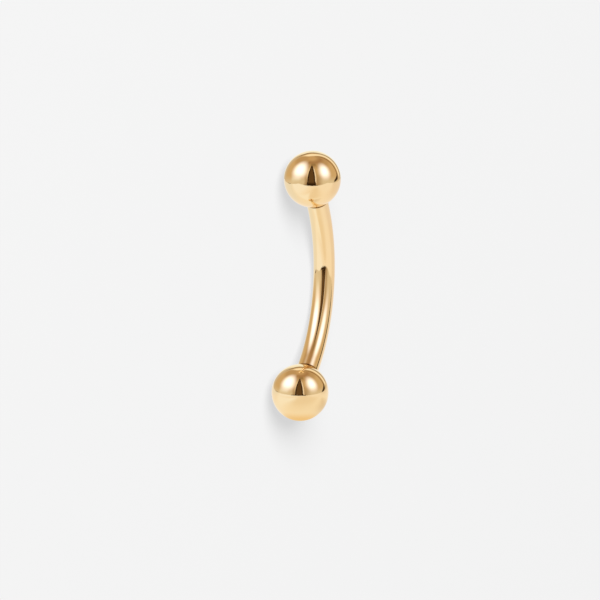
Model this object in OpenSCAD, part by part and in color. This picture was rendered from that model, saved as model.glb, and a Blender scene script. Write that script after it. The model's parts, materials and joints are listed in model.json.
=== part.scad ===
// Curved barbell for an eyebrow piercing: a bent bar with short straight ends and a screw-on
// ball at each end.
// It lies as it comes to rest by itself, on its two balls and the belly of the bend.
// The line through the ball centres runs along X with the upper ball at -X, the bend bows
// towards +Y and down, and the surface it lies on is z = 0. The middle of its outline on
// that surface is at X = 0, Y = 0.

/* [Bar] */
// Thickness of the bar, 16 gauge
bar_d = 1.2; // [1:0.05:1.6]
// Straight distance between the nearest faces of the two balls
wear_len = 8.7; // [7:0.1:10]
// Radius of the bend, measured to the middle of the bar
bend_r = 6.75; // [5:0.25:9]
// Length of the straight stretch between each ball and the bend
straight_len = 0.7; // [0.4:0.1:1.5]
// How much thinner than the bend the straight stretches are, to sink into it cleanly
straight_step = 0.01; // [0.005:0.005:0.02]
// Length of each straight stretch that sinks into the bend
straight_root = 0.15; // [0.1:0.05:0.2]
// Space left between the belly of the bend and the surface it lies on
belly_gap = 0.02; // [0:0.01:0.05]

/* [Balls] */
// Diameter of each ball, one eighth of an inch
ball_d = 3.175; // [2.8:0.025:3.5]

/* [Thread] */
// Bevel around the bar's shoulder, where it sits against the ball
shoulder_bevel = 0.06; // [0.02:0.02:0.08]
// Diameter of the screw post at each end of the bar, halfway up its thread
post_d = 1.04; // [0.8:0.02:1.1]
// Length of the screw post beyond the bar's shoulder
post_len = 1.9; // [1.2:0.1:2.2]
// Length of each post that sinks into the bar
post_root = 0.5; // [0.3:0.1:0.8]
// Space left all round the post and beyond its tip
thread_gap = 0.03; // [0.02:0.01:0.06]
// Space left between the bar's shoulder and the ball
seam_gap = 0.03; // [0.02:0.01:0.06]
// Bevel at the tip of each screw post
tip_bevel = 0.1; // [0.05:0.05:0.2]

/* [Hidden] */
$fn = 96;
gold = [0.85, 0.66, 0.36];

ball_r = ball_d / 2;
bar_r = bar_d / 2;
straight_r = bar_r - straight_step / 2;
post_r = post_d / 2;
// Centre of one ball to the centre of the other
centre_gap = wear_len + ball_d;

hole_r = post_r + thread_gap;

// Distances along a ball's own axis, from its centre towards the bar
mouth = sqrt(ball_r * ball_r - hole_r * hole_r);
shoulder = mouth + seam_gap;
post_tip = shoulder - post_len;
bend_start = mouth + straight_len;

// Half the angle that the bar bends through in all
reach = sqrt(bend_start * bend_start + bend_r * bend_r);
end_angle = asin(centre_gap / 2 / reach) - atan2(bend_start, bend_r);
// How far the middle of the bar stands off the line through the ball centres
bow = bend_start * sin(end_angle) + bend_r * (1 - cos(end_angle));
// The bend drops until its belly all but touches the surface that the balls lie on.
drop = ball_r - bar_r - belly_gap;
lean = bow > drop ? asin(drop / bow) : 90;
// From the ball centres back to halfway between the front of the balls and the back of the bend
middle_y = (bow * cos(lean) + bar_r - ball_r) / 2;

// Turns the flat bend, drawn in X and Y with its bow towards +Y, to how it lies.
module laid_down() {
    translate([0, -middle_y, ball_r]) rotate([-lean, 0, 0]) children();
}

// Puts what is drawn along Z on one end's axis, with the ball centre at 0 and +Z towards the bar.
// side is -1 for the upper end, at -X, and 1 for the lower one.
module on_end_axis(side) {
    translate([side * centre_gap / 2, 0, 0])
        rotate([0, 0, -side * end_angle])
            rotate([0, side * -90, 0])
                children();
}

module screw_post() {
    translate([0, 0, post_tip + tip_bevel])
        cylinder(h = post_len - tip_bevel + post_root, r = post_r);
    translate([0, 0, post_tip])
        cylinder(h = tip_bevel, r1 = post_r - tip_bevel, r2 = post_r);
}

module straight_end() {
    translate([0, 0, shoulder])
        cylinder(h = shoulder_bevel, r1 = straight_r - shoulder_bevel, r2 = straight_r);
    translate([0, 0, shoulder + shoulder_bevel])
        cylinder(h = bend_start + straight_root - shoulder - shoulder_bevel, r = straight_r);
}

module bend() {
    translate([0, bow - bend_r, 0])
        rotate([0, 0, 90 - end_angle])
            rotate_extrude(angle = 2 * end_angle)
                translate([bend_r, 0]) circle(r = bar_r);
}

module curved_bar() {
    color(gold) laid_down() {
        bend();
        for (side = [-1, 1]) on_end_axis(side) {
            straight_end();
            screw_post();
        }
    }
}

module screw_ball(side) {
    color(gold) laid_down() on_end_axis(side) difference() {
        sphere(r = ball_r);
        // The threaded hole
        translate([0, 0, post_tip - thread_gap])
            cylinder(h = ball_r - post_tip + thread_gap, r = hole_r);
    }
}

module upper_ball() { screw_ball(-1); }
module lower_ball() { screw_ball(1); }

curved_bar();
upper_ball();
lower_ball();
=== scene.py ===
"""Dresses a curved eyebrow barbell: a bent gold bar with a screw ball at each end, and its studio."""

import json
import math

import bpy
from bpy.props import FloatProperty, FloatVectorProperty, PointerProperty
from mathutils import Matrix, Vector


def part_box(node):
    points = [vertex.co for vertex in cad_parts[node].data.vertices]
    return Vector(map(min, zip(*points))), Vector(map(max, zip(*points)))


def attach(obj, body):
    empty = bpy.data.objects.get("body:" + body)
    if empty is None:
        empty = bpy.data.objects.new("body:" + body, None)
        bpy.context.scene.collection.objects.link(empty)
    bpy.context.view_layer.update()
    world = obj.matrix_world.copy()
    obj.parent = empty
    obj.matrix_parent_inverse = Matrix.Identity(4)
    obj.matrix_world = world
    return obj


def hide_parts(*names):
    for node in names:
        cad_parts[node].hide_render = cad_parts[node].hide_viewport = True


bl_info = {
    "name": "Curved eyebrow barbell",
    "version": (1, 0, 0),
    "blender": (4, 5, 0),
    "location": "View3D > Sidebar > Barbell",
    "description": "Models a polished gold curved barbell and the studio it lies in",
    "category": "Object",
}

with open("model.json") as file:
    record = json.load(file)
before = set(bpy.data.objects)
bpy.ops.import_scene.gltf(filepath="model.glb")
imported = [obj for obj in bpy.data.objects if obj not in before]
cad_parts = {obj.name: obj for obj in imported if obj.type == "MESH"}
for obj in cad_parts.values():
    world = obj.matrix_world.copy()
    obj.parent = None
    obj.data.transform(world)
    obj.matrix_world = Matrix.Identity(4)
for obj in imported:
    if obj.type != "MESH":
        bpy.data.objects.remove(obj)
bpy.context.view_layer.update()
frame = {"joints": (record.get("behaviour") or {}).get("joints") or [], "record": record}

MM = 0.001
# Vertices within this of a place are on it, and vertices this near each other are merged.
ON_PLACE, MERGED = 1e-7, 1e-8
# Faces that meet at more than this keep a sharp edge.
SHARP_ANGLE = math.radians(38)

# The solid model says where the ball centres, their screw axes and the middle of the bend are.
JOINTS = {joint["name"]: joint for joint in frame["joints"]}
CHANNEL = frame["record"]["mounts"][0]
ENDS = {
    "upper_ball": ("upper_end", JOINTS["upper_ball_turn"]),
    "lower_ball": ("lower_end", JOINTS["lower_ball_turn"]),
}
UPPER = Vector(ENDS["upper_ball"][1]["pos_m"])
LOWER = Vector(ENDS["lower_ball"][1]["pos_m"])
OUT_UPPER = Vector(ENDS["upper_ball"][1]["axis"]).normalized()
OUT_LOWER = Vector(ENDS["lower_ball"][1]["axis"]).normalized()
BEND_MIDDLE = Vector(CHANNEL["pos_m"])
MIDDLE = (UPPER + LOWER) / 2
BOW_WAY = (BEND_MIDDLE - MIDDLE).normalized()
END_ANGLE = OUT_LOWER.angle((LOWER - UPPER).normalized())
LOW_CORNER, HIGH_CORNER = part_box("upper_ball")

# Width of the camera's film in millimetres, and side of the square picture in pixels
FILM_WIDTH = 36.0
PICTURE_SIDE = 600
# How far the middle of the barbell stands from the left and from the top of the picture, in pixels
FROM_LEFT, FROM_TOP = 306.2, 285.8


# Shader wires
class Wire:
    """A number on its way through a shader. Arithmetic on it adds Math nodes."""

    def __init__(self, nodes, socket):
        self.nodes, self.socket = nodes, socket

    def __add__(self, other):
        return self.nodes.maths("ADD", self, other)

    def __sub__(self, other):
        return self.nodes.maths("SUBTRACT", self, other)

    def __rsub__(self, other):
        return self.nodes.maths("SUBTRACT", other, self)

    def __mul__(self, other):
        return self.nodes.maths("MULTIPLY", self, other)

    def __truediv__(self, other):
        return self.nodes.maths("DIVIDE", self, other)

    def __pow__(self, other):
        return self.nodes.maths("POWER", self, other)

    def __abs__(self):
        return self.nodes.maths("ABSOLUTE", self)

    __radd__ = __add__
    __rmul__ = __mul__


class Nodes:
    """Adds nodes to one material, sets them and joins them up."""

    def __init__(self, tree):
        self.tree = tree
        tree.nodes.clear()

    def add(self, kind, settings, inputs):
        """Adds one node: its settings first, then the values and wires of its sockets."""
        node = self.tree.nodes.new(kind)
        for name, value in settings.items():
            setattr(node, name, value)
        for name, value in inputs.items():
            socket = node.inputs[name]
            if isinstance(value, Wire):
                self.tree.links.new(value.socket, socket)
            elif socket.type == "RGBA":
                socket.default_value = (*value, 1.0)
            else:
                socket.default_value = value
        return {socket.name: Wire(self, socket) for socket in node.outputs if socket.enabled}

    def maths(self, operation, *values):
        return self.add("ShaderNodeMath", {"operation": operation}, dict(enumerate(values)))["Value"]

    def vector_maths(self, operation, *values):
        return self.add("ShaderNodeVectorMath", {"operation": operation}, dict(enumerate(values)))

    def minus(self, first, second):
        return self.vector_maths("SUBTRACT", first, second)["Vector"]

    def dot(self, first, second):
        return self.vector_maths("DOT_PRODUCT", first, second)["Value"]

    def place(self):
        """Where a point of the surface is, which for a finished piece is its place in the scene."""
        return self.add("ShaderNodeTexCoord", {}, {})["Object"]

    def noise(self, place, scale, detail, roughness=0.5):
        slots = {"Vector": place, "Scale": scale, "Detail": detail, "Roughness": roughness}
        return self.add("ShaderNodeTexNoise", {"noise_dimensions": "3D"}, slots)["Fac"]

    def fade(self, value, low, high):
        """0 up to low and 1 from high on, with a soft step between them; low may be the larger."""
        if low <= high:
            slots = {"Value": value, "From Min": low, "From Max": high}
        else:
            slots = {"Value": value, "From Min": high, "From Max": low, "To Min": 1.0, "To Max": 0.0}
        return self.add("ShaderNodeMapRange", {"interpolation_type": "SMOOTHSTEP"}, slots)["Result"]

    def between(self, value, low, high, soft):
        """1 between low and high and 0 elsewhere, with soft the half width of the step at each."""
        return self.fade(value, low - soft, low + soft) * self.fade(value, high + soft, high - soft)

    def blend(self, factor, first, second):
        """The first colour where factor is 0 and the second where it is 1."""
        settings = {"data_type": "RGBA", "clamp_factor": True}
        return self.add("ShaderNodeMix", settings, {"Factor": factor, "A": first, "B": second})["Result"]

    def layers(self, colour, *masks_and_shades):
        """Lays colours over the first one in turn, each where its mask is 1."""
        for mask, shade in masks_and_shades:
            colour = self.blend(mask, colour, shade)
        return colour

    def shader_out(self, shader):
        self.add("ShaderNodeOutputMaterial", {}, {"Surface": shader})


def new_material(name):
    material = bpy.data.materials.new(name)
    material.use_nodes = True
    return material, Nodes(material.node_tree)


def polished_gold(name, sizes, finish, mark_scale):
    """Mirror-polished yellow gold with faint polishing marks, a little changing warmth and painted shade
    in the seam beside each ball.
    """
    material, nodes = new_material(name)
    place = nodes.place()
    # Slow changes of colour and gloss, a millimetre or so across
    cloud = nodes.noise(place, scale=900.0, detail=3.0)
    colour = nodes.blend(nodes.fade(cloud, 0.3, 0.7), tuple(finish.gold), tuple(finish.warm_gold))
    # Painted shade: a dark line in the seam between the bar's shoulder and each ball
    ball_end = math.sqrt((sizes.ball_d / 2) ** 2 - (sizes.bar_d / 2) ** 2)
    bevel_end = ball_end + sizes.gap + sizes.shoulder_bevel
    for centre, out in ((UPPER, OUT_UPPER), (LOWER, OUT_LOWER)):
        along = nodes.dot(nodes.minus(place, centre), -out)
        past_ball = nodes.fade(along, ball_end - 0.02 * MM, ball_end)
        before_bar = nodes.fade(along, bevel_end + 0.06 * MM, bevel_end + 0.03 * MM)
        colour = nodes.blend(past_ball * before_bar, colour, tuple(finish.painted_seam_shade))
    # Fine buffing marks, which mark_scale draws out along the bar
    stretched = nodes.add("ShaderNodeMapping", {}, {"Vector": place, "Scale": mark_scale})["Vector"]
    marks = nodes.noise(stretched, scale=9000.0, detail=4.0, roughness=0.6)
    change = 0.02
    roughness = finish.roughness + (cloud - 0.5) * change + (marks - 0.5) * change
    slots = {"Strength": 0.25, "Distance": finish.mark_depth, "Height": marks}
    bump = nodes.add("ShaderNodeBump", {}, slots)["Normal"]
    slots = {"Base Color": colour, "Metallic": 1.0, "Roughness": roughness, "Normal": bump}
    nodes.shader_out(nodes.add("ShaderNodeBsdfPrincipled", {}, slots)["BSDF"])
    return material


# Mesh tools
def start(add, **settings):
    """Adds one primitive with nothing else selected and hands back its object."""
    if bpy.context.mode != "OBJECT":
        bpy.ops.object.mode_set(mode="OBJECT")
    bpy.ops.object.select_all(action="DESELECT")
    add(**settings)
    return bpy.context.object


def settle():
    """Puts the place of the selected object into its mesh."""
    bpy.ops.object.transform_apply(location=True, rotation=True, scale=True)


def pick(obj, test):
    """Selects the vertices whose place passes the test, and what lies between them."""
    bpy.ops.mesh.select_all(action="DESELECT")
    bpy.ops.object.mode_set(mode="OBJECT")
    for vertex in obj.data.vertices:
        vertex.select = test(vertex.co)
    bpy.ops.object.mode_set(mode="EDIT")
    bpy.ops.mesh.select_mode(type="VERT")


def push(way):
    """Extrudes what is selected by this much."""
    bpy.ops.mesh.extrude_region_move(TRANSFORM_OT_translate={"value": way})


def shrink(factor, centre):
    """Scales what is selected towards this centre."""
    bpy.ops.transform.resize(value=(factor, factor, factor), center_override=centre)


def close_up():
    """Merges doubles, points the faces outwards, leaves edit mode and smooths the shading."""
    bpy.ops.mesh.select_all(action="SELECT")
    bpy.ops.mesh.remove_doubles(threshold=MERGED)
    bpy.ops.mesh.normals_make_consistent(inside=False)
    bpy.ops.object.mode_set(mode="OBJECT")
    bpy.ops.object.shade_smooth_by_angle(angle=SHARP_ANGLE)


def finish_piece(obj, name, body, material):
    """Names a piece, gives it its gold and sets the body that it rides on."""
    obj.name = obj.data.name = name
    obj.data.materials.clear()
    obj.data.materials.append(material)
    # The gold throws no warm glow onto the floor.
    obj.visible_diffuse = False
    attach(obj, body)


# Settings
class BarbellSizes(bpy.types.PropertyGroup):
    """The sizes of the barbell, in metres."""

    ball_d: FloatProperty(
        name="Ball", description="Diameter of each ball", unit="LENGTH",
        default=round(HIGH_CORNER.z - LOW_CORNER.z, 6))
    bar_d: FloatProperty(
        name="Bar", description="Thickness of the bar", unit="LENGTH",
        default=2 * CHANNEL["dims"]["r_mm"] * MM)
    straight_len: FloatProperty(
        name="Straight ends", description="Length of the bar between each ball and the bend",
        unit="LENGTH", default=0.7 * MM)
    shoulder_bevel: FloatProperty(
        name="Shoulder bevel", description="Bevel of the bar's shoulder by the ball", unit="LENGTH",
        default=0.06 * MM)
    post_d: FloatProperty(
        name="Post", description="Diameter of the screw post", unit="LENGTH", default=1.04 * MM)
    post_len: FloatProperty(
        name="Post length", description="Length of the post beyond the shoulder", unit="LENGTH",
        default=1.9 * MM)
    gap: FloatProperty(
        name="Gap", description="Space around the bar and its post inside a ball", unit="LENGTH",
        default=0.03 * MM)
    rim: FloatProperty(
        name="Rim", description="Rounding of the rim of each screw hole", unit="LENGTH",
        default=0.015 * MM)


class BarbellFinish(bpy.types.PropertyGroup):
    """How the gold looks."""

    gold: FloatVectorProperty(
        name="Gold", description="Colour of the gold", subtype="COLOR", default=(0.95, 0.745, 0.44))
    warm_gold: FloatVectorProperty(
        name="Warmer gold", description="Colour where the gold is a little warmer",
        subtype="COLOR", default=(0.96, 0.735, 0.42))
    # Painted shade: the dark colour painted into the seam where the bar meets each ball
    painted_seam_shade: FloatVectorProperty(
        name="Groove", description="Colour in the seam between the bar and each ball",
        subtype="COLOR", default=(0.24, 0.13, 0.045))
    roughness: FloatProperty(
        name="Roughness", description="How soft the reflections are", default=0.06)
    mark_depth: FloatProperty(
        name="Mark depth", description="Depth of the buffing marks", unit="LENGTH",
        default=0.00002 * MM)


class BarbellStudio(bpy.types.PropertyGroup):
    """The floor, the lights and the camera."""

    floor_colour: FloatVectorProperty(
        name="Floor", description="Colour of the floor", subtype="COLOR", default=(0.8, 0.8, 0.8))
    around: FloatProperty(
        name="Room light", description="Brightness of the even light all round", default=0.83)
    key: FloatProperty(
        name="Key light", description="Power of the soft key light", unit="POWER", default=6.5)
    distance: FloatProperty(
        name="Camera distance", description="From the camera to the barbell", unit="LENGTH",
        default=0.25)
    lens: FloatProperty(
        name="Lens", description="Focal length", subtype="DISTANCE_CAMERA", default=270.0)
    tilt: FloatProperty(
        name="Camera tilt", description="From straight above to the camera, towards the front",
        subtype="ANGLE", default=math.radians(50.26))
    upper_end_near: FloatProperty(
        name="Upper end nearer", description="How far the upper end turns to the camera",
        subtype="ANGLE", default=math.radians(1.0))
    roll: FloatProperty(
        name="Camera roll", description="Lean of the barbell in the picture", subtype="ANGLE",
        default=math.radians(3.29))


# Pieces
class BARBELL_OT_bar(bpy.types.Operator):
    """Model the bent bar with its screw posts"""

    bl_idname = "barbell.bar"
    bl_label = "Curved bar"

    def execute(self, context):
        sizes = context.scene.barbell_sizes
        bar_r, post_r, ball_r = sizes.bar_d / 2, sizes.post_d / 2, sizes.ball_d / 2
        mouth = math.sqrt(ball_r**2 - (post_r + sizes.gap) ** 2)
        shoulder, bevel = mouth + sizes.gap, sizes.shoulder_bevel
        tip_bevel = 0.1 * MM
        bend_steps, straight_steps = 220, 16

        # The bend's centre lies on the middle line, square to both ends' axes.
        bend_start = mouth + sizes.straight_len
        bend_low, bend_high = LOWER - OUT_LOWER * bend_start, UPPER - OUT_UPPER * bend_start
        bend_r = (bend_low - bend_high).length / 2 / math.sin(END_ANGLE)
        centre = (bend_low + bend_high) / 2 - BOW_WAY * bend_r * math.cos(END_ANGLE)
        if (centre + BOW_WAY * bend_r - BEND_MIDDLE).length > 0.01 * MM:
            raise RuntimeError("the bend misses the middle of the solid bar")

        turned = OUT_LOWER.to_track_quat("Z", "Y").to_euler()
        bar = start(
            bpy.ops.mesh.primitive_circle_add, vertices=96, radius=bar_r,
            location=bend_low, rotation=turned)
        settle()
        bpy.ops.object.mode_set(mode="EDIT")
        bpy.ops.mesh.select_all(action="SELECT")
        side_way = (LOWER - UPPER).normalized().cross(BOW_WAY)
        bpy.ops.mesh.spin(steps=bend_steps, angle=2 * END_ANGLE, center=centre, axis=-side_way)
        for place, out in ((bend_low, OUT_LOWER), (bend_high, OUT_UPPER)):
            pick(bar, lambda co: abs((co - place).dot(out)) < ON_PLACE and (co - place).length < 2 * bar_r)
            # The straight stretch, in steps so that its shading stays even, then the bevelled shoulder
            for step in range(straight_steps):
                push(out * ((bend_start - shoulder - bevel) / straight_steps))
            shoulder_place = place + out * (bend_start - shoulder)
            push(out * bevel)
            shrink((bar_r - bevel) / bar_r, shoulder_place)
            # The post, with a bevelled tip
            bpy.ops.mesh.edge_face_add()
            bpy.ops.mesh.inset(thickness=bar_r - bevel - post_r)
            push(out * (sizes.post_len - tip_bevel))
            push(out * tip_bevel)
            shrink((post_r - tip_bevel) / post_r, shoulder_place + out * sizes.post_len)
        close_up()
        material = polished_gold("gold_bar", sizes, context.scene.barbell_finish, (1.0, 6.0, 6.0))
        finish_piece(bar, "gold_bar", "bar", material)
        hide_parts("curved_bar")
        return {"FINISHED"}


class BARBELL_OT_balls(bpy.types.Operator):
    """Model one screw ball and put a copy at each end of the bar"""

    bl_idname = "barbell.balls"
    bl_label = "Screw balls"

    def execute(self, context):
        sizes, finish = context.scene.barbell_sizes, context.scene.barbell_finish
        ball_r, hole_r = sizes.ball_d / 2, sizes.post_d / 2 + sizes.gap
        mouth = math.sqrt(ball_r**2 - hole_r**2)

        # The screw hole opens towards +Z while the ball is being shaped.
        first = start(bpy.ops.mesh.primitive_uv_sphere_add, segments=144, ring_count=108, radius=ball_r)
        bpy.ops.object.mode_set(mode="EDIT")
        bpy.ops.mesh.select_all(action="SELECT")
        bpy.ops.mesh.bisect(
            plane_co=(0, 0, mouth), plane_no=(0, 0, 1), clear_outer=True, clear_inner=False)
        pick(first, lambda co: abs(co.z - mouth) < ON_PLACE)
        push(Vector((0, 0, -sizes.post_len)))
        bpy.ops.mesh.edge_face_add()
        # A softly rounded rim
        pick(first, lambda co: abs(co.z - mouth) < ON_PLACE)
        bpy.ops.mesh.bevel(offset=sizes.rim, segments=5, affect="EDGES")
        close_up()

        copies = {"upper_ball": first, "lower_ball": first.copy()}
        copies["lower_ball"].data = first.data.copy()
        context.collection.objects.link(copies["lower_ball"])
        for node, (body, joint) in ENDS.items():
            ball = copies[node]
            bpy.ops.object.select_all(action="DESELECT")
            ball.select_set(True)
            context.view_layer.objects.active = ball
            inward = -Vector(joint["axis"])
            turn = inward.to_track_quat("Z", "Y").to_matrix().to_4x4()
            ball.matrix_world = Matrix.Translation(Vector(joint["pos_m"])) @ turn
            settle()
            name = "gold_" + node
            finish_piece(ball, name, body, polished_gold(name, sizes, finish, (2.0, 2.0, 2.0)))
            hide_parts(node)
        return {"FINISHED"}


# Studio
def camera_turn(studio):
    """The camera's turn: from above with the upper end up, tilted to the front, and rolled."""
    turn = Matrix.Rotation(studio.tilt, 3, "X") @ Matrix.Rotation(math.pi / 2, 3, "Z")
    return turn @ Matrix.Rotation(-studio.upper_end_near, 3, "X") @ Matrix.Rotation(studio.roll, 3, "Z")


def for_reflections_only(obj):
    """The gold mirrors this object, and it neither lights the floor nor shows in the picture."""
    obj.visible_camera = obj.visible_diffuse = obj.visible_shadow = False
    obj.visible_transmission = obj.visible_volume_scatter = False


def mirrored_card(name, middle, width, depth, material):
    """Adds a flat card whose sides are the vectors width and depth, for the gold to mirror."""
    card = start(bpy.ops.mesh.primitive_plane_add, size=1.0)
    spread = Matrix((width, depth, width.cross(depth).normalized())).transposed().to_4x4()
    card.matrix_world = Matrix.Translation(middle) @ spread
    settle()
    card.name = name
    card.data.materials.append(material)
    for_reflections_only(card)


def glowing_material(name):
    """A new material for something that only glows and isn't counted as a lamp."""
    material, nodes = new_material(name)
    material.cycles.emission_sampling = "NONE"
    return material, nodes


def glow(nodes, colour):
    slots = {"Color": colour, "Strength": 1.0}
    nodes.shader_out(nodes.add("ShaderNodeEmission", {}, slots)["Emission"])


def room_directions(nodes, turn):
    """The way from the barbell to a point of the round room, as three counts in degrees.

    The first is 0 towards the camera and positive to the right of it, the second is the same
    counted on round the back, and the third is the height.
    """
    away = nodes.vector_maths("NORMALIZE", nodes.minus(nodes.place(), MIDDLE))["Vector"]
    right, up, near = (nodes.dot(away, way) for way in turn.col)
    degrees = 180 / math.pi
    across = nodes.maths("ARCTAN2", right, near) * degrees
    round_back = nodes.maths("FLOORED_MODULO", across, 360.0)
    return across, round_back, nodes.maths("ARCSINE", up) * degrees


def plain_room(nodes, across, round_back, height):
    """A warm room: pale low down, darker higher up, with a dark ceiling edge and a pale wall."""
    fade = nodes.fade

    def patch(count, start_at, end_at, low, high, soft):
        return nodes.between(count, start_at, end_at, soft) * nodes.between(height, low, high, soft)

    return nodes.layers(
        nodes.blend(fade(height, -6.0, 14.0), (0.74, 0.67, 0.56), (0.65, 0.49, 0.30)),
        (fade(height, 36.0, 52.0), (0.53, 0.375, 0.22)),
        (fade(height, 74.0, 84.0), (0.61, 0.43, 0.25)),
        # Ceiling edge, which comes further down above the stand
        (patch(across, -35.0, 115.0, 62.0, 75.0, soft=8.0), (0.41, 0.25, 0.135)),
        (patch(across, -9.0, 22.0, 53.0, 65.0, soft=6.0), (0.33, 0.22, 0.11)),
        # Pale patch low down to the left
        (patch(across, -92.0, -50.0, -4.0, 9.0, soft=8.0), (0.84, 0.82, 0.77)),
        # Pale wall behind the barbell, brighter in its middle
        (patch(round_back, 142.0, 222.0, -5.0, 50.0, soft=7.0), (0.66, 0.58, 0.47)),
        (patch(round_back, 160.0, 200.0, 5.0, 50.0, soft=6.0), (1.0, 1.03, 0.98)),
    )


def with_arch(nodes, colour, across, round_back, height):
    """Adds a bright arch round the pale wall, with a dark line along each side of it."""
    middle, half_width, tall, power = 186.0, 50.0, 69.0, 3
    sideways = abs(round_back - middle) / half_width
    upwards = nodes.maths("MAXIMUM", height, 0.0) / tall
    # 0 in the middle of the wall and 1 on the arch
    reach = (sideways**power + upwards**power) ** (1 / power)
    shown = nodes.fade(height, 5.0, 12.0) * nodes.fade(round_back, 224.0, 206.0)
    # Each line's inner and outer edge and how soft they are, the height where it ends, its colour
    for inner, outer, soft, end, shade in (
        (0.70, 0.78, 0.04, 90.0, (0.24, 0.15, 0.08)),
        (0.88, 1.10, 0.05, 90.0, (1.05, 0.98, 0.86)),
        (1.24, 1.36, 0.05, 75.0, (0.27, 0.15, 0.065)),
    ):
        line = nodes.between(reach, inner, outer, soft) * shown
        colour = nodes.blend(line * nodes.fade(height, end + 8.0, end - 8.0), colour, shade)
    # Small dark thing at its foot, which slants up to the right and gets thicker that way
    off_middle = abs(height - 0.8 - (across - 106.0) * 0.5)
    thing = nodes.fade(off_middle - (across - 112.0) * 0.12, 5.5, 3.0)
    return nodes.blend(nodes.between(across, 100.0, 125.0, 4.0) * thing, colour, (0.05, 0.027, 0.012))


def with_softboxes(nodes, colour, across, height):
    """Adds a soft lamp to the left and one to the right, as squares with very round corners."""
    lamp_colour, power = (1.55, 1.72, 2.35), 2.4
    # Middle and its height, half the width and height, and where the light is full and where it ends
    for middle, tall, half_width, half_height, full, end in (
        (-58.5, 35.5, 28.5, 24.0, 0.3, 1.7),
        (54.5, 30.0, 17.0, 18.0, 0.15, 2.1),
    ):
        sideways, upwards = abs(across - middle) / half_width, abs(height - tall) / half_height
        reach = (sideways**power + upwards**power) ** (1 / power)
        colour = nodes.blend(nodes.fade(reach, end, full), colour, lamp_colour)
    return colour


def with_stand(nodes, colour, across, height):
    """Adds a dark stand, narrower towards its top, with a pale sliver and a dim edge at each side."""
    fade, between = nodes.fade, nodes.between
    lowest, tall, power = -15.0, 69.0, 2.2
    rise = ((nodes.maths("MAXIMUM", height, lowest) - lowest) / tall) ** power
    foot = fade(height, -6.0, -18.0) * 4.0
    # How far out from its left side and from its right side, in degrees
    left_out = -20.0 + rise * 14.0 - foot - across
    right_out = across - 11.5 + rise * 9.5 - foot
    dim_edges = fade(left_out, 18.0, 3.0) * fade(right_out, 38.0, 6.0) * fade(height, 30.0, -5.0)
    dim_right = between(right_out, -4.0, 8.0, 4.0) * fade(height, 56.0, 44.0)
    right_sliver = between(right_out, 0.5, 5.0, 1.5) * between(height, -12.0, 44.0, 9.0)
    left_sliver = between(left_out, 0.5, 4.0, 2.0) * between(height, 4.0, 46.0, 10.0)
    inside = fade(left_out, 1.0, -1.0) * fade(right_out, 1.0, -1.0) * fade(height, 58.0, 53.0)
    deep = fade(left_out, -2.0, -7.0) * fade(right_out, -2.0, -7.0) * fade(height, -21.0, -8.0)
    return nodes.layers(
        colour,
        (dim_edges * 0.9, (0.42, 0.30, 0.18)),
        (dim_right * 0.9, (0.46, 0.33, 0.20)),
        (right_sliver, (0.95, 0.86, 0.77)),
        (left_sliver * 0.6, (0.95, 0.87, 0.76)),
        (inside, nodes.blend(deep, (0.03, 0.015, 0.006), (0.12, 0.068, 0.028))),
    )


def room_material(turn):
    """What the gold mirrors: two softboxes, a dark stand between them and a warm room."""
    material, nodes = glowing_material("mirrored_room")
    across, round_back, height = room_directions(nodes, turn)
    colour = plain_room(nodes, across, round_back, height)
    colour = with_arch(nodes, colour, across, round_back, height)
    colour = with_softboxes(nodes, colour, across, height)
    glow(nodes, with_stand(nodes, colour, across, height))
    return material


def table_material(contact, right, table_near):
    """The pale table top that the gold mirrors: cooler to the left, warmer in places, with painted shadow
    where it touches the ball and a painted shadow streak towards the camera.
    """
    material, nodes = glowing_material("mirrored_table")
    fade = nodes.fade
    # Millimetres from where it touches the ball, to the right and towards the camera
    away = nodes.minus(nodes.place(), contact)
    across, near = (nodes.dot(away, way) / MM for way in (right, table_near))
    far_out = abs(across) + abs(near)
    # Painted soft shadow: a warm, darker streak from where it touches towards the camera
    warm = fade(abs(across - near * 0.3), 11.0, 0.0) * fade(near, 0.5, 4.0) * fade(near, 34.0, 16.0)
    near_left = fade(across, -0.8, -3.5) * fade(near, -2.0, 1.0) * fade(far_out, 16.0, 8.0)
    near_right = fade(across, 0.2, 2.4) * fade(near, 2.0, -0.4) * fade(far_out, 9.0, 3.0)
    glow(nodes, nodes.layers(
        nodes.blend(fade(far_out, 12.0, 2.0), (0.975, 0.93, 0.89), (0.98, 0.95, 0.89)),
        # Front left, back left and back right
        (fade(across, -3.0, -16.0) * fade(near, -8.0, 4.0), (1.0, 1.03, 1.10)),
        (fade(across, -3.0, -12.0) * fade(near, 2.0, -8.0), (0.90, 0.91, 0.92)),
        (fade(across, 4.0, 22.0) * fade(near, 6.0, -10.0), (0.88, 0.80, 0.75)),
        # Painted shadow streak
        (warm * 0.8, (0.87, 0.77, 0.63)),
        # Close to where it touches: paler to the left, painted shade to the right, and underneath a
        # painted contact shadow warmed by painted glow from the gold
        (near_left, (1.0, 1.03, 1.08)),
        (near_right * 0.85, (0.78, 0.69, 0.59)),
        (fade((across**2 + near**2) ** 0.5, 1.5, 0.5), (0.90, 0.69, 0.39)),
    ))
    return material


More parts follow.
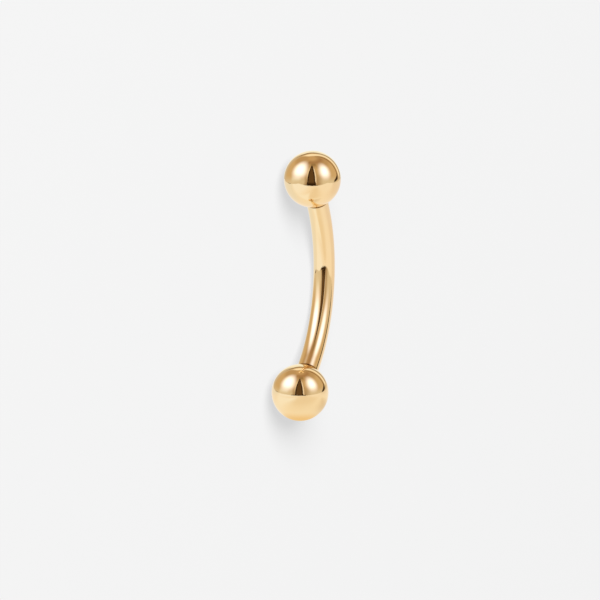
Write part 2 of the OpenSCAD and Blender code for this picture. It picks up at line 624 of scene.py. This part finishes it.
class BARBELL_OT_studio(bpy.types.Operator):
    """Set up the floor, the lights, what the gold mirrors and the camera"""

    bl_idname = "barbell.studio"
    bl_label = "Studio"

    def execute(self, context):
        scene, studio = context.scene, context.scene.barbell_studio
        turn = camera_turn(studio)
        self.add_floor(studio)
        self.add_lights(scene, studio)
        self.add_mirrored_room(turn)
        self.add_mirrored_table(turn, scene.barbell_sizes.ball_d / 2)
        self.add_camera(scene, studio, turn)
        scene.view_settings.view_transform = "Standard"
        return {"FINISHED"}

    def add_floor(self, studio):
        floor = start(bpy.ops.mesh.primitive_plane_add, size=6.0)
        floor.name = "floor"
        material, nodes = new_material("pale_floor")
        pale = tuple(studio.floor_colour)
        darker = tuple(0.995 * channel for channel in pale)
        colour = nodes.blend(nodes.noise(nodes.place(), scale=400.0, detail=3.0), pale, darker)
        nodes.shader_out(nodes.add("ShaderNodeBsdfDiffuse", {}, {"Color": colour})["BSDF"])
        floor.data.materials.append(material)
        floor.visible_glossy = False

    def add_lights(self, scene, studio):
        world = bpy.data.worlds.new("room_light")
        scene.world = world
        world.use_nodes = True
        background = world.node_tree.nodes["Background"]
        background.inputs["Color"].default_value = (studio.around,) * 3 + (1.0,)
        world.cycles_visibility.glossy = False

        key = bpy.data.objects.new("key_light", bpy.data.lights.new("key_light", "AREA"))
        key.data.shape = "DISK"
        key.data.size = 0.95
        key.data.energy = studio.key
        way = Vector((-0.6, -0.6, 1.0)).normalized()
        key_distance = 1.2
        key.location = MIDDLE + way * key_distance
        key.rotation_mode = "QUATERNION"
        key.rotation_quaternion = way.to_track_quat("Z", "Y")
        key.visible_glossy = False
        scene.collection.objects.link(key)

    def add_mirrored_room(self, turn):
        room = start(
            bpy.ops.mesh.primitive_uv_sphere_add, segments=96, ring_count=48, radius=0.11,
            location=MIDDLE)
        settle()
        room.name = "mirrored_room"
        room.data.materials.append(room_material(turn))
        for_reflections_only(room)

    def add_mirrored_table(self, turn, ball_r):
        """The table touches the lower ball from below in the picture, and slopes to the camera."""
        right, up, near = turn.col
        slope = math.radians(9.4)
        table_up = up * math.cos(slope) + near * math.sin(slope)
        table_near = near * math.cos(slope) - up * math.sin(slope)
        contact = LOWER - table_up * ball_r
        # How far it reaches from there to each side
        to_front, to_back, to_left, to_right = 0.036, 0.2, 0.055, 0.072
        middle = contact + right * (to_right - to_left) / 2 + table_near * (to_front - to_back) / 2
        mirrored_card(
            "mirrored_table", middle, right * (to_left + to_right), table_near * (to_front + to_back),
            table_material(contact, right, table_near))

        # Painted shadow line: a dark strip along the middle of its front edge; and a lower, browner strip
        # at its left edge
        front_lip = table_near * to_front - right * 0.005
        left_lip = right * -to_left - table_near * 0.019
        for name, foot, along, length, height, shade in (
            ("mirrored_front_edge_shadow", front_lip, right, 0.042, 0.0016, (0.05, 0.03, 0.012)),
            ("mirrored_left_edge", left_lip, table_near, 0.018, 0.0011, (0.16, 0.10, 0.05)),
        ):
            material, nodes = glowing_material(name)
            glow(nodes, shade)
            middle = contact + foot + table_up * height / 2
            mirrored_card(name, middle, along * length, table_up * height, material)

    def add_camera(self, scene, studio, turn):
        """The middle of the barbell stands a little right of and above the middle of the picture."""
        right, up, near = turn.col
        camera = bpy.data.objects.new("camera", bpy.data.cameras.new("camera"))
        scene.collection.objects.link(camera)
        camera.data.lens = studio.lens
        camera.data.sensor_width = FILM_WIDTH
        camera.data.clip_start, camera.data.clip_end = 0.01, 20.0
        per_pixel = studio.distance * FILM_WIDTH / (studio.lens * PICTURE_SIDE)
        to_right, upwards = FROM_LEFT - PICTURE_SIDE / 2, PICTURE_SIDE / 2 - FROM_TOP
        aim = MIDDLE - right * to_right * per_pixel - up * upwards * per_pixel
        camera.matrix_world = Matrix.Translation(aim + near * studio.distance) @ turn.to_4x4()
        scene.camera = camera


class BARBELL_PT_panel(bpy.types.Panel):
    """Lists the barbell's sizes, finish and studio"""

    bl_idname = "BARBELL_PT_panel"
    bl_label = "Curved barbell"
    bl_space_type = "VIEW_3D"
    bl_region_type = "UI"
    bl_category = "Barbell"

    def draw(self, context):
        for group_name in GROUPS:
            group = getattr(context.scene, group_name)
            for name in group.bl_rna.properties.keys():
                if name not in ("rna_type", "name"):
                    self.layout.prop(group, name)
        for operator in OPERATORS:
            self.layout.operator(operator.bl_idname)


GROUPS = {
    "barbell_sizes": BarbellSizes,
    "barbell_finish": BarbellFinish,
    "barbell_studio": BarbellStudio,
}
OPERATORS = (BARBELL_OT_bar, BARBELL_OT_balls, BARBELL_OT_studio)


def register():
    for name, group in GROUPS.items():
        bpy.utils.register_class(group)
        setattr(bpy.types.Scene, name, PointerProperty(type=group))
    for cls in (*OPERATORS, BARBELL_PT_panel):
        bpy.utils.register_class(cls)


def unregister():
    for cls in (BARBELL_PT_panel, *reversed(OPERATORS)):
        bpy.utils.unregister_class(cls)
    for name, group in GROUPS.items():
        delattr(bpy.types.Scene, name)
        bpy.utils.unregister_class(group)


def main():
    register()
    bpy.ops.barbell.bar()
    bpy.ops.barbell.balls()
    bpy.ops.barbell.studio()
    bpy.context.view_layer.update()


if __name__ == "__main__":
    main()
